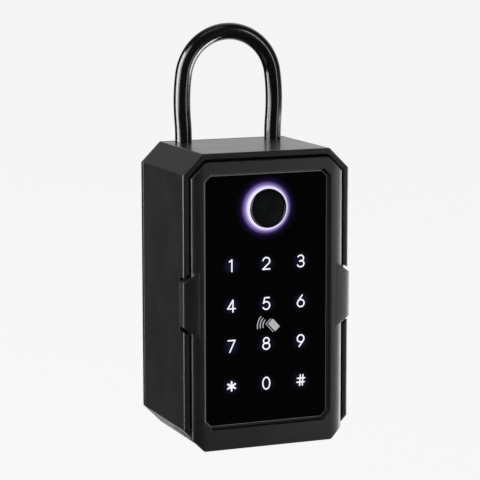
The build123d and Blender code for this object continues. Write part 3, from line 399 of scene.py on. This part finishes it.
grip_drop, grip_half = 0.0603, 0.013  # the grips' middle below the casing's top, and half their height
grip_middle = casing_top - grip_drop
root_inner, root_outer = 0.0063, 0.0031  # of a grip's root, in from the casing's side
root_blur = 0.0005
edge_radius, root_radius = 0.0004, 0.0016
glass_low, glass_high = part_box("touch_glass")
glass_lap = 0.0016
window_slope = 0.0009
window_half_width = glass_high.x - glass_lap + window_slope
window_half_height = (glass_high.z - glass_low.z) / 2 - glass_lap + window_slope
window_middle = (glass_high.z + glass_low.z) / 2
window_blur = 0.0001
slope_smoothing = 0.75  # how much of the coat's roughness the window's slopes lack


def place_on(tree):
    """The X, Y and Z of a point, in the object's own coordinates, as three sockets."""
    where = tree.nodes.new("ShaderNodeSeparateXYZ")
    wire(tree, tree.nodes.new("ShaderNodeTexCoord").outputs["Object"], where.inputs[0])
    return where.outputs


def within(tree, distance, limit, blur):
    """One where a distance is under a limit and nothing beyond it, blurred to either side of the limit."""
    return eased(tree, distance, limit - blur, limit + blur, 1.0, 0.0)


def from_level(tree, along, level):
    """How far a coordinate is from a level, on either side."""
    return sum_node(tree, "ABSOLUTE", sum_node(tree, "SUBTRACT", along, level))


door_coat = finish("door_coat", coat_black, 0.43, specular=1.0, spread=0.03, edge=edge_radius, coat=1.0,
                   coat_rough=0.43)
tree = door_coat.node_tree
where = place_on(tree)
door_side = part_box("body_shell")[1].x
across = sum_node(tree, "ABSOLUTE", where["X"])
past_root = eased(tree, across, door_side - root_inner - root_blur, door_side - root_inner + root_blur)
in_root = sum_node(tree, "MULTIPLY", past_root, within(tree, across, door_side - root_outer, root_blur))
in_root = sum_node(tree, "MULTIPLY", in_root,
                   within(tree, from_level(tree, where["Z"], grip_middle), grip_half, root_blur))
wire(tree, sum_node(tree, "MULTIPLY_ADD", in_root, root_radius - edge_radius, edge_radius),
     tree.nodes["rounding"].inputs["Radius"])

border_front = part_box("door_frame")[0].y
upward = from_level(tree, where["Z"], window_middle)
in_window = sum_node(tree, "MULTIPLY",
                     within(tree, across, window_half_width + 2 * window_blur, window_blur),
                     within(tree, upward, window_half_height + 2 * window_blur, window_blur))
on_slope = sum_node(tree, "MULTIPLY", in_window,
                    eased(tree, where["Y"], border_front + 2 * window_blur, border_front + 5 * window_blur))
rough = tree.nodes["Principled BSDF"].inputs["Roughness"]
kept_share = sum_node(tree, "MULTIPLY_ADD", on_slope, -slope_smoothing, 1.0)
wire(tree, sum_node(tree, "MULTIPLY", rough.links[0].from_socket, kept_share), rough)
dress(door_coat, "door_frame")

# Glass
# Black back-printed glass, 1.8 mm thick, set in from behind. Its edge is ground to a narrow frosted bevel,
# whose fine line inside the border is a painted highlight: the bevel glows. Light from the reader and the
# keys leaks into the print around them.

reader_low, reader_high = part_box("sensor_bezel")
reader_spot = ((reader_low.x + reader_high.x) / 2, (reader_low.z + reader_high.z) / 2)
glass_hole = 0.01035
glass_bevel = 0.00035
glass_corner = 0.0033
side_steps = 24
key_pitch_across, key_pitch_down = 0.0152, 0.0165
first_row_drop = 0.0227
key_columns = key_pitch_across * np.array([-1, 0, 1])
key_rows = reader_spot[1] - first_row_drop - key_pitch_down * np.arange(4)
halo_reach, tail_reach = (0.0095, 0.0119), (0.010, 0.0138)  # from the reader's middle, where its light fades
key_reach = (0.001, 0.0055)  # the same from a key's middle


def cut_corners(half, low, high, cut, per_side):
    """Points round a rectangle in X and Z whose corners are cut at 45 degrees, each side divided evenly."""
    corner = np.array([
        (half, low + cut), (half, high - cut), (half - cut, high), (cut - half, high),
        (-half, high - cut), (-half, low + cut), (cut - half, low), (half - cut, low),
    ])
    share = np.linspace(0, 1, per_side + 1)[:-1, None]
    along = corner[:, None] * (1 - share) + np.roll(corner, -1, axis=0)[:, None] * share
    return along.reshape(-1, 2)


def glass_ring(inset, depth):
    """One ring of the glass, moved in from its edge by an inset, at a depth in Y.

    Each side stays parallel where a corner's cut loses 2 minus the root of 2 of the inset.
    """
    share = 2 - np.sqrt(2)
    outline = cut_corners(glass_high.x - inset, glass_low.z + inset, glass_high.z - inset,
                          glass_corner - share * inset, side_steps)
    return np.insert(outline, 1, depth, axis=1)


def hole_ring(outline, depth):
    """The glass's round hole, with one point for each point of an outline, in its direction."""
    away = outline[:, [0, 2]] - reader_spot
    away *= glass_hole / np.linalg.norm(away, axis=1, keepdims=True)
    return np.insert(away + reader_spot, 1, depth, axis=1)


edge_ring = glass_ring(glass_lap, glass_low.y + glass_bevel)
face_ring = glass_ring(glass_lap + glass_bevel, glass_low.y)
rim_ring = glass_ring(0.0, glass_low.y + glass_bevel)
glass_rings = [
    hole_ring(face_ring, glass_low.y), face_ring, edge_ring, rim_ring, glass_ring(0.0, glass_high.y),
    hole_ring(face_ring, glass_high.y),
]
bevel_row = 1  # the faces between the second ring and the third
glass_faces = quads(len(glass_rings), len(face_ring), closed_rows=True)


def slant(tree, across, upward):
    """Length of a slanting line, from how far it goes across and up."""
    across, upward = sum_node(tree, "POWER", across, 2.0), sum_node(tree, "POWER", upward, 2.0)
    return sum_node(tree, "SQRT", sum_node(tree, "ADD", across, upward))


def from_reader(tree, where):
    """How far a point of the front is from the reader's middle."""
    across = from_level(tree, where["X"], reader_spot[0])
    return slant(tree, across, from_level(tree, where["Z"], reader_spot[1]))


def glow_of(material, colour):
    """Gives a material its own light, from a colour or a socket."""
    shader = material.node_tree.nodes["Principled BSDF"]
    if isinstance(colour, bpy.types.NodeSocket):
        wire(material.node_tree, colour, shader.inputs["Emission Color"])
    else:
        shader.inputs["Emission Color"].default_value = (*colour, 1)
    shader.inputs["Emission Strength"].default_value = 1.0


def from_key(tree, along, first, pitch, keys):
    """How far a coordinate is from the nearest of some evenly spaced keys, and at most half a pitch."""
    held = tree.nodes.new("ShaderNodeClamp")
    wire(tree, sum_node(tree, "SUBTRACT", along, first), held.inputs["Value"])
    held.inputs["Min"].default_value, held.inputs["Max"].default_value = -pitch / 2, (keys - 0.5) * pitch
    return sum_node(tree, "WRAP", held.outputs[0], pitch / 2, -pitch / 2)


print_black = finish("print_black", (0.0016, 0.0016, 0.002), 0.06, specular=0.22, grain=0.002, relief=0.001,
                     spread=0.02)
tree = print_black.node_tree
where = place_on(tree)
to_reader = from_reader(tree, where)
to_key = slant(tree, from_key(tree, where["X"], key_columns[0], key_pitch_across, len(key_columns)),
               from_key(tree, where["Z"], key_rows[-1], key_pitch_down, len(key_rows)))
halo = sum_node(tree, "POWER", eased(tree, to_reader, *halo_reach, 1.0, 0.0), 2.0)
key_glow = sum_node(tree, "POWER", eased(tree, to_key, *key_reach, 1.0, 0.0), 2.0)
leak = tinted(tree, key_glow, (0.0, 0.0, 0.0), (0.007, 0.008, 0.019))
leak = tinted(tree, eased(tree, to_reader, *tail_reach, 1.0, 0.0), leak, (0.007, 0.003, 0.022))
glow_of(print_black, tinted(tree, halo, leak, (0.09, 0.06, 0.21)))
# The ground bevel is frosted grey, and its glow is a painted highlight standing for the light its edge
# catches.
ground_edge_painted_highlight = finish("ground_edge_painted_highlight", (0.25, 0.25, 0.255), 0.5, grain=0.0003)
glow_of(ground_edge_painted_highlight, (0.045, 0.045, 0.048))
glass = grid_piece("glass_panel", np.concatenate(glass_rings), glass_faces, print_black, 20)
glass.data.materials.append(ground_edge_painted_highlight)
is_bevel = np.arange(len(glass_faces)) // len(face_ring) == bevel_row
glass.data.polygons.foreach_set("material_index", is_bevel.astype(int))
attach(glass, "door")
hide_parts("touch_glass")

# Finger reader
# A black sensing disc in a turned rim. Round it runs a translucent ring lit from behind, white-hot next to
# the rim, where it slopes up to it, and violet towards the glass.

round_steps = 192
reader_growth = 0.0002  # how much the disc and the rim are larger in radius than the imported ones
disc_eye = 0.0004  # radius of a pinhole up the disc's middle, where its profile starts and ends
disc_bevel, disc_dome = 0.00012, 0.00003
rim_bevel, rim_lip, rim_throat = 0.0004, 0.0003, 0.0005
ring_radius, hot_radius, ring_bevel = 0.0101, 0.0091, 0.0002
ring_edge, ring_shoulder, ring_rise = 0.0002, 0.0003, 0.0006  # how far it stands out of the glass
ring_drop = 0.0002  # how far it lies behind the rim's front, where it meets the rim
seam, flange_gap = 0.00005, 0.0001  # left free round the reader's pieces


def turned(name, profile, material, smooth_angle=35):
    """A closed profile of radius and depth carried once round the reader's axis, which runs along Y."""
    profile = np.array(profile)
    angle = np.linspace(0, 2 * np.pi, round_steps + 1)[:-1]
    points = np.stack([
        reader_spot[0] + profile[:, :1] * np.cos(angle),
        np.repeat(profile[:, 1:], round_steps, axis=1),
        reader_spot[1] + profile[:, :1] * np.sin(angle),
    ], axis=-1)
    faces = quads(len(profile), round_steps, closed_rows=True)
    return grid_piece(name, points.reshape(-1, 3), faces, material, smooth_angle)


disc_low, disc_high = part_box("fingerprint_sensor")
disc_radius = (disc_high.x - disc_low.x) / 2 + reader_growth
rim_radius = (reader_high.x - reader_low.x) / 2 + reader_growth
ring_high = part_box("sensor_light_ring")[1]
front, back = reader_low.y, ring_high.y
glass_front = glass_low.y

disc_points = [
    (disc_eye, disc_high.y), (disc_radius, disc_high.y), (disc_radius, disc_low.y + disc_bevel),
    (disc_radius - disc_bevel, disc_low.y), (0.5 * disc_radius, disc_low.y - disc_dome * 2 / 3),
    (disc_eye, disc_low.y - disc_dome),
]
reader_black = finish("reader_black", (0.003, 0.0045, 0.005), 0.25, specular=0.4, grain=0.0005, spread=0.05)
disc = turned("reader_disc", disc_points, reader_black)
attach(disc, "door")
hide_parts("fingerprint_sensor")

rim_points = [
    (disc_radius + seam, back), (rim_radius, back), (rim_radius, front + rim_bevel),
    (rim_radius - rim_bevel, front), (disc_radius + rim_lip, front + seam),
    (disc_radius + seam, front + rim_throat),
]
dark_chrome = finish("dark_chrome", (0.10, 0.10, 0.105), 0.20, metal=1.0, grain=0.0005)
rim = turned("reader_rim", rim_points, dark_chrome, 25)
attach(rim, "door")
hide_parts("sensor_bezel")

inner = rim_radius + seam
foot_radius = ring_high.x - reader_spot[0]
ring_points = [
    (inner, back), (foot_radius, back), (foot_radius, glass_high.y + flange_gap),
    (ring_radius, glass_high.y), (ring_radius, glass_front - ring_edge),
    (ring_radius - ring_bevel, glass_front - ring_shoulder), (hot_radius, glass_front - ring_rise),
    (inner, front + ring_drop),
]
ring_light = finish("ring_light", (0.12, 0.10, 0.16), 0.35, specular=0.2, grain=0.0005)
tree = ring_light.node_tree
fade = tree.nodes.new("ShaderNodeValToRGB")
wire(tree, eased(tree, from_reader(tree, place_on(tree)), rim_radius, ring_radius), fade.inputs["Fac"])
tones = fade.color_ramp.elements
tones[0].color, tones[1].color = (0.84, 0.78, 0.98, 1), (0.07, 0.045, 0.18, 1)
for place, colour in ((0.12, (0.82, 0.75, 0.97)), (0.35, (0.56, 0.47, 0.83)), (0.65, (0.24, 0.17, 0.47))):
    tones.new(place).color = (*colour, 1)
glow_of(ring_light, fade.outputs["Color"])
ring = turned("reader_ring", ring_points, ring_light, 50)
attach(ring, "door")
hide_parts("sensor_light_ring")

# Digits and card sign
# Openings in the glass's black print, lit from behind, so they stand level with its face. The strokes have
# round ends. The sign for cards between the keys is dimmer, with three waves and two cards.

digit_height = 0.00545
stroke = 0.00055
star_boldness = 1.35
print_depth = 0.00004
cap_steps, arc_steps, run_steps = 6, 32, 8
cap_slit = 0.05  # the angle that a round end stops short of closing by, so that no two points meet


def ribbon(path, width):
    """A flat band along a path in X and Z, as points and faces: the path moved half its width to both sides.

    Beyond each end the sides close in as the cosine of an angle while the path runs on as its sine, which
    makes a half circle.
    """
    step = np.gradient(path, axis=0)
    step /= np.linalg.norm(step, axis=1, keepdims=True)
    angle = np.linspace(np.pi / 2 - cap_slit, 0, cap_steps + 1)[:-1, None]
    beside, beyond = np.cos(angle) * width / 2, np.sin(angle) * width / 2
    half = np.concatenate([beside, np.full((len(path), 1), width / 2), beside[::-1]])
    path = np.concatenate([path[0] - step[0] * beyond, path, path[-1] + step[-1] * beyond[::-1]])
    step = np.concatenate([step[:1].repeat(cap_steps, axis=0), step, step[-1:].repeat(cap_steps, axis=0)])
    side = step[:, ::-1] * (-1, 1) * half
    left, right = path + side, path - side
    front, back = glass_front - print_depth, glass_front + print_depth
    rings = [np.insert(edge, 1, depth, axis=1) for depth in (front, back) for edge in (left, right)]
    points = np.stack([rings[0], rings[1], rings[3], rings[2]], axis=1).reshape(-1, 3)
    last = 4 * (len(path) - 1)
    return points, quads(len(path), 4) + [[3, 2, 1, 0], [last, last + 1, last + 2, last + 3]]


def curve(*parts):
    """One path through points and arcs: an arc is its middle, its radii across and up, and two angles."""
    path = []
    for part in parts:
        if len(part) == 2:
            path.append([part])
        else:
            x, z, wide, tall, start, end = part
            angle = np.radians(np.linspace(start, end, arc_steps + 1))
            path.append(np.stack([x + wide * np.cos(angle), z + tall * np.sin(angle)], axis=1))
    return np.concatenate(path)


def dense(path):
    """A path with each run divided, so that its band keeps an even width round the corners."""
    share = np.linspace(0, 1, run_steps + 1)[:-1, None]
    runs = [first * (1 - share) + second * share for first, second in zip(path[:-1], path[1:])]
    return np.concatenate(runs + [path[-1:]])


# The strokes of each mark, from its middle, in shares of a digit's height.
digit_strokes = {
    "1": [curve((-0.15, 0.29), (0.04, 0.436)), curve((0.04, 0.436), (0.04, -0.436))],
    "2": [curve((0, 0.17, 0.27, 0.266, 168, -38)), curve((0.213, 0.006), (-0.28, -0.436)),
          curve((-0.28, -0.436), (0.28, -0.436))],
    "3": [curve((-0.02, 0.215, 0.235, 0.221, 150, -90)), curve((-0.02, -0.2, 0.27, 0.236, 90, -155)),
          curve((-0.02, -0.006), (-0.1, -0.006))],
    "4": [curve((0.12, 0.436), (-0.3, -0.2)), curve((-0.3, -0.2), (0.3, -0.2)),
          curve((0.12, 0.436), (0.12, -0.45))],
    "5": [curve((0.24, 0.44), (-0.13, 0.44)), curve((-0.13, 0.44), (-0.22, 0.05)),
          curve((-0.01, -0.15, 0.28, 0.286, 140, -150))],
    "6": [curve((0, -0.165, 0.27, 0.271, 0, 360)), curve((0.12, 0.436), (-0.235, -0.03))],
    "7": [curve((-0.27, 0.436), (0.28, 0.436)), curve((0.28, 0.436), (-0.14, -0.436))],
    "8": [curve((0, 0.22, 0.225, 0.216, 0, 360)), curve((0, -0.195, 0.27, 0.241, 0, 360))],
    "9": [curve((0, 0.165, 0.27, 0.271, 0, 360)), curve((-0.12, -0.436), (0.235, 0.03))],
    "0": [curve((0, 0, 0.28, 0.45, 0, 360))],
    "*": [curve(*[(share * np.sin(turn), share * np.cos(turn)) for share in (-0.33, 0.33)])
          for turn in np.radians((0, 60, 120))],
    "#": [curve((-0.08, -0.4), (-0.02, 0.4)), curve((0.14, -0.4), (0.20, 0.4)),
          curve((-0.26, 0.15), (0.34, 0.15)), curve((-0.30, -0.15), (0.30, -0.15))],
}


def lit_piece(name, shapes, material):
    """One lit mark, from the points and faces of its bands and plates, in one mesh."""
    points, faces, count = [], [], 0
    for shape, shape_faces in shapes:
        points.append(shape)
        faces += [[corner + count for corner in face] for face in shape_faces]
        count += len(shape)
    piece = grid_piece(name, np.concatenate(points), faces, material)
    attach(piece, "door")


def lit(name, colour):
    """A diffusing print that glows."""
    made = finish(name, (0.1, 0.1, 0.1), 0.4, specular=0.2, grain=0.0004)
    glow_of(made, colour)
    return made


digit_light = lit("digit_light", (0.93, 0.93, 1.0))
for index, mark in enumerate("123456789*0#"):
    name = {"*": "star", "#": "hash"}.get(mark, mark)
    middle = np.array([key_columns[index % 3], key_rows[index // 3]])
    width = stroke * (star_boldness if mark == "*" else 1.0)
    bands = [ribbon(dense(path) * digit_height + middle, width) for path in digit_strokes[mark]]
    lit_piece("digit_" + name, bands, digit_light)

sign_light = lit("sign_light", (0.40, 0.40, 0.42))
sign_middle = np.array([0.0, (key_rows[1] + key_rows[2]) / 2])
card_middle = sign_middle + (0.00337, -0.00085)
wave_middle = sign_middle + (0.0022, -0.0010)
card_length, card_width, card_round = 0.0046, 0.00285, 0.0003
rear_card_shift, rear_card_stroke = (-0.00095, 0.0), 0.0003
wave_radii, wave_start, wave_end, wave_stroke = (0.0037, 0.0049, 0.0061), 139, 188, 0.00042
tilt = np.radians(-48)
turn = np.array([[np.cos(tilt), -np.sin(tilt)], [np.sin(tilt), np.cos(tilt)]])


def card(middle):
    """Outline of a tilted card with rounded corners, whose first point comes again at its end."""
    long, wide = card_length / 2 - card_round, card_width / 2 - card_round
    parts = [
        (long, wide, card_round, card_round, 0, 90), (-long, wide, card_round, card_round, 90, 180),
        (-long, -wide, card_round, card_round, 180, 270), (long, -wide, card_round, card_round, 270, 360),
        (long + card_round, wide),
    ]
    return curve(*parts) @ turn.T + middle


def plate(outline):
    """A filled shape as deep as a band, from its outline in X and Z, as points and faces."""
    count = len(outline)
    points = np.concatenate([np.insert(outline, 1, depth, axis=1)
                             for depth in (glass_front - print_depth, glass_front + print_depth)])
    faces = [side[::-1] for side in quads(2, count)]
    return points, faces + [list(range(count)), list(range(2 * count - 1, count - 1, -1))]


behind_corner = np.array([(card_length / 2, -card_width / 2), (-card_length / 2, -card_width / 2),
                          (-card_length / 2, card_width / 2)]) @ turn.T
sign_shapes = [
    plate(card(card_middle)[:-1]),
    ribbon(dense(behind_corner + card_middle + rear_card_shift), rear_card_stroke),
]
for radius in wave_radii:
    wave = curve((*wave_middle, radius, radius, wave_start, wave_end))
    sign_shapes.append(ribbon(wave, wave_stroke))
lit_piece("card_sign", sign_shapes, sign_light)

# Light mask, lamps and boards
# Behind the glass lie a white moulded mask with a window for each key, small white lamps, and the green
# keypad board. The main board with its plugs, chips and buzzer is screwed to posts inside the housing.

mask_white = finish("mask_white", (0.72, 0.72, 0.70), 0.5, grain=0.0008)
lamp_cover = finish("lamp_cover", (0.85, 0.8, 0.5), 0.3)
dress(mask_white, "light_mask")
dress(lamp_cover, "digit_leds")
board_green = (0.012, 0.10, 0.035)
track_scale = 420.0
solder_mask = finish("solder_mask", board_green, 0.3, specular=0.6, grain=0.0008)
tree = solder_mask.node_tree
tracks = tree.nodes.new("ShaderNodeTexBrick")
tracks.inputs["Scale"].default_value = track_scale
tracks.inputs["Color1"].default_value = (*board_green, 1)
tracks.inputs["Color2"].default_value = (0.010, 0.09, 0.03, 1)
tracks.inputs["Mortar"].default_value = (0.03, 0.2, 0.07, 1)
tracks.inputs["Mortar Size"].default_value = 0.03
board_plane = tree.nodes.new("ShaderNodeMapping")
board_plane.inputs["Rotation"].default_value = (np.pi / 2, 0, 0)
wire(tree, tree.nodes.new("ShaderNodeTexCoord").outputs["Object"], board_plane.inputs["Vector"])
wire(tree, board_plane.outputs[0], tracks.inputs["Vector"])
wire(tree, tracks.outputs["Color"], tree.nodes["Principled BSDF"].inputs["Base Color"])
dress(solder_mask, "keypad_board", "main_board")
moulded_black = finish("moulded_black", (0.02, 0.02, 0.021), 0.5, grain=0.0005)
dress(moulded_black, "board_parts", "buzzer")
dress(sheet_zinc, "usb_port")

# Inner housing, cell cover and seal
# Injection moulded in black with a spark-eroded texture and screwed to the door's bosses. The cover lifts
# off the cells by four grooves. A soft rubber seal runs round the door's skirt.

eroded_black = finish("eroded_black", (0.016, 0.016, 0.017), 0.52, grain=0.00035, relief=0.08, edge=0.00015)
dress(eroded_black, "inner_housing", "battery_cover")
seal_rubber = finish("seal_rubber", (0.012, 0.012, 0.012), 0.7, grain=0.0005, relief=0.05)
dress(seal_rubber, "door_seal")

# Cells and contacts
# Four AAA cells in plain shrunk sleeves with a darker band at the upper end. They are held between leaf
# contacts, which are pressed from nickel-plated spring strip.

sleeve_grey, band_grey = (0.35, 0.36, 0.38), (0.05, 0.05, 0.055)
band_start, band_blur = 0.0414, 0.0001
sleeve = finish("sleeve", sleeve_grey, 0.3, grain=0.0008)
tree = sleeve.node_tree
on_band = eased(tree, place_on(tree)["Z"], band_start - band_blur, band_start + band_blur)
wire(tree, tinted(tree, on_band, sleeve_grey, band_grey), tree.nodes["Principled BSDF"].inputs["Base Color"])
dress(sleeve, "batteries")
nickel = brushed("nickel", (0.62, 0.60, 0.56), 0.25, (1.0, 0.08, 1.0))
dress(nickel, "battery_contacts")

# Lock work
# A small geared motor under a sheet clamp turns a brass pinion, and the pinion's teeth drive the rack on the
# bolt. The bolt is sintered steel, and its nose enters the strike above it.

motor_can = brushed("motor_can", (0.50, 0.50, 0.52), 0.28, (0.08, 1.0, 1.0))
sintered = finish("sintered", (0.42, 0.42, 0.43), 0.38, metal=1.0, grain=0.0003, relief=0.05, edge=0.0001)
turned_brass = finish("turned_brass", (0.62, 0.42, 0.14), 0.26, metal=1.0, grain=0.0003)
dress(motor_can, "lock_motor")
dress(sheet_zinc, "motor_clamp")
dress(sintered, "lock_bolt")
dress(turned_brass, "motor_pinion")
